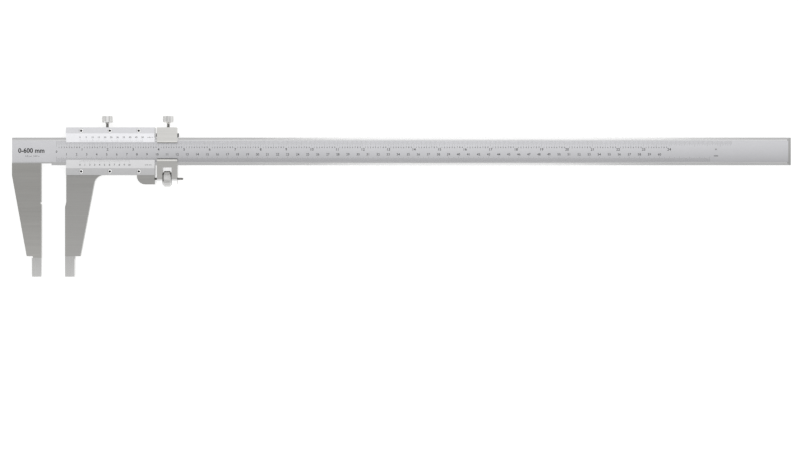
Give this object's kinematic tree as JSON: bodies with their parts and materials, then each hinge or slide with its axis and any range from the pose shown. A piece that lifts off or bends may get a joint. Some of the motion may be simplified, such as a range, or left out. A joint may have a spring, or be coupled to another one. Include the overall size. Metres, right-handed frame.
{
  "type": "vernier caliper",
  "caption": "Long vernier caliper with nib jaws, bolted vernier plates on the slider, thumbscrew clamps and a fine-adjustment carriage with a knurled feed nut.",
  "frame": {"origin": "bottom centre of the bounding box: the caliper lies on its back, and z = 0 is the back of the slider and the carriage", "axes": "+X along the beam, from the fixed jaw to its free end; +Y across the beam, away from the jaws; +Z out of the graduated face"},
  "size_m": [0.775, 0.1604, 0.0158],
  "materials": {
    "satin_chrome": "satin, bead-blasted chrome with ground rails",
    "vernier_chrome": "fine satin chrome",
    "ground_steel": "surface-ground",
    "slider_steel": "surface-ground",
    "carriage_steel": "fine ground with bright bevels",
    "screw_steel": "turned",
    "bright_knurl": "bright, knurled",
    "thread_steel": "rolled thread, oiled",
    "spring_steel": "rolled strip"
  },
  "bodies": {
    "beam": {"main_beam": "satin_chrome", "fixed_jaw": "ground_steel"},
    "slider": {"slider_frame": "slider_steel", "upper_vernier_plate": "vernier_chrome", "lower_vernier_plate": "vernier_chrome", "upper_plate_screw_1": "screw_steel", "upper_plate_screw_2": "screw_steel", "upper_plate_screw_3": "screw_steel", "lower_plate_screw_1": "screw_steel", "lower_plate_screw_2": "screw_steel", "lower_plate_screw_3": "screw_steel", "gib_set_screw_1": "screw_steel", "gib_set_screw_2": "screw_steel", "feed_screw": "thread_steel", "feed_screw_lock": "screw_steel"},
    "slider_gib": {"slider_gib": "spring_steel"},
    "slider_clamp": {"slider_clamp_screw": "bright_knurl"},
    "carriage": {"fine_adjust_carriage": "carriage_steel"},
    "carriage_gib": {"carriage_gib": "spring_steel"},
    "carriage_clamp": {"carriage_clamp_screw": "bright_knurl"},
    "feed_nut": {"feed_nut": "bright_knurl"}
  },
  "joints": [
    {"name": "slider_travel", "type": "slide", "parent": "beam", "child": "slider", "axis": [1, 0, 0], "range_m": [-0.02355, 0.5764]},
    {"name": "carriage_travel", "type": "slide", "parent": "slider", "child": "carriage", "axis": [1, 0, 0], "range_m": [-0.0009, 0.0054]},
    {"name": "feed_nut_turn", "type": "hinge", "parent": "carriage", "child": "feed_nut", "pos_m": [-0.233, 0.01725, 0.008], "axis": [1, 0, 0], "range_deg": [-721, 4321]},
    {"name": "slider_gib_travel", "type": "slide", "parent": "slider", "child": "slider_gib", "axis": [0, -1, 0], "range_m": [-0.000375, 0.0003]},
    {"name": "slider_clamp_turn", "type": "hinge", "parent": "slider_gib", "child": "slider_clamp", "pos_m": [-0.29285, 0.07675, 0.0061], "axis": [0, -1, 0], "range_deg": [-271, 217]},
    {"name": "carriage_gib_travel", "type": "slide", "parent": "carriage", "child": "carriage_gib", "axis": [0, -1, 0], "range_m": [-0.000375, 0.0003]},
    {"name": "carriage_clamp_turn", "type": "hinge", "parent": "carriage_gib", "child": "carriage_clamp", "pos_m": [-0.23215, 0.07675, 0.0061], "axis": [0, -1, 0], "range_deg": [-271, 217]}
  ],
  "couplings": [
    {"joint": "feed_nut_turn", "follows": "carriage_travel", "rad_per_m": 13963},
    {"joint": "slider_clamp_turn", "follows": "slider_gib_travel", "rad_per_m": 12566},
    {"joint": "carriage_clamp_turn", "follows": "carriage_gib_travel", "rad_per_m": 12566}
  ]
}
